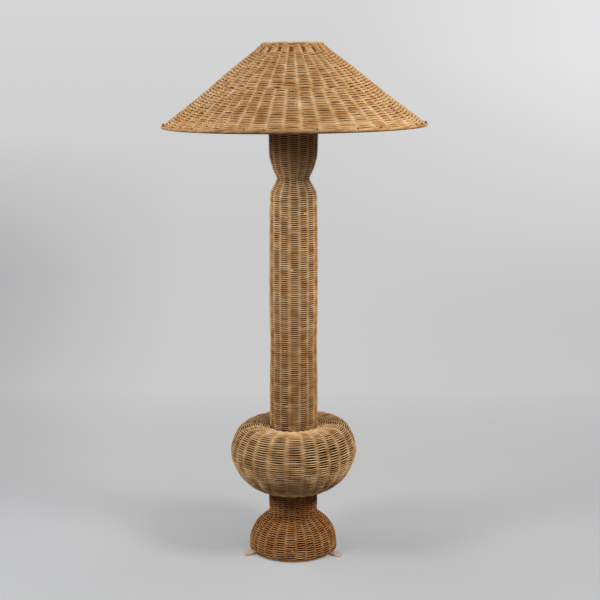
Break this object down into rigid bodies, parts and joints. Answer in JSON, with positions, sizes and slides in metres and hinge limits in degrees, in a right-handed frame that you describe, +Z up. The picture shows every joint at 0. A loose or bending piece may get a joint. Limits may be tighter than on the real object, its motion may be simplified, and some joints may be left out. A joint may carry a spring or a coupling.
{
  "type": "rattan floor lamp",
  "caption": "Tall floor lamp: a weighted stand of stacked woven rattan forms carries a wide conical woven shade over a light bulb on a harp.",
  "frame": {"origin": "on the floor, under the middle of the base", "axes": "+Z up along the lamp's axis, -Y towards the front, +X to the right seen from the front"},
  "size_m": [0.803, 0.803, 1.6],
  "materials": {
    "shade_reed": "woven honey-coloured rattan reed, satin",
    "column_reed": "woven amber rattan reed, satin",
    "belly_reed": "woven tan rattan reed, satin",
    "base_reed": "woven reddish-brown rattan reed, satin",
    "pale_wood": "raw pale wood",
    "iron_rod": "dark brown lacquer on iron",
    "ballast_iron": "rough casting",
    "zinc_steel": "zinc plate",
    "brass": "satin brass",
    "fibre_board": "pressed fibre",
    "phenolic": "dark moulded resin",
    "cap_aluminium": "satin",
    "opal_glass": "opal white"
  },
  "bodies": {
    "stand": {"base_weave": "base_reed", "bulb_weave": "belly_reed", "column_weave": "column_reed", "cup_weave": "column_reed", "base_frame": "iron_rod", "bulb_frame": "iron_rod", "column_frame": "iron_rod", "foot_left": "pale_wood", "foot_right": "pale_wood", "foot_rear": "pale_wood", "foot_screw_left": "zinc_steel", "foot_screw_right": "zinc_steel", "foot_screw_rear": "zinc_steel", "ballast_plate": "ballast_iron", "stem_pipe": "zinc_steel", "base_washer": "zinc_steel", "base_nut": "zinc_steel", "junction_plate_lower": "iron_rod", "junction_plate_upper": "iron_rod", "cup_plate": "iron_rod", "top_nut": "brass", "cord_bushing": "phenolic", "socket_cap": "brass", "socket_shell": "brass", "insulating_sleeve": "fibre_board", "socket_interior": "phenolic", "screw_shell": "brass", "centre_contact": "brass", "harp_saddle": "brass", "harp": "brass"},
    "shade": {"shade_weave": "shade_reed", "shade_frame": "iron_rod", "shade_spider": "brass"},
    "finial": {"finial": "brass"},
    "light_bulb": {"bulb_cap": "cap_aluminium", "bulb_glass": "opal_glass"},
    "switch_knob": {"switch_knob": "phenolic"},
    "ferrule_left": {"ferrule_left": "brass"},
    "ferrule_right": {"ferrule_right": "brass"}
  },
  "joints": [
    {"name": "shade_turn", "type": "hinge", "parent": "stand", "child": "shade", "pos_m": [0, 0, 1.56], "axis": [0, 0, 1], "continuous": true},
    {"name": "finial_screw", "type": "hinge", "parent": "stand", "child": "finial", "pos_m": [0, 0, 1.5615], "axis": [0, 0, 1], "continuous": true},
    {"name": "bulb_screw", "type": "hinge", "parent": "stand", "child": "light_bulb", "pos_m": [0, 0, 1.391], "axis": [0, 0, 1], "continuous": true},
    {"name": "switch_turn", "type": "hinge", "parent": "stand", "child": "switch_knob", "pos_m": [0, -0.02, 1.3788], "axis": [0, -1, 0], "continuous": true},
    {"name": "ferrule_left_slide", "type": "slide", "parent": "stand", "child": "ferrule_left", "axis": [0, 0, 1], "range_m": [0, 0.012]},
    {"name": "ferrule_right_slide", "type": "slide", "parent": "stand", "child": "ferrule_right", "axis": [0, 0, 1], "range_m": [0, 0.012]}
  ]
}
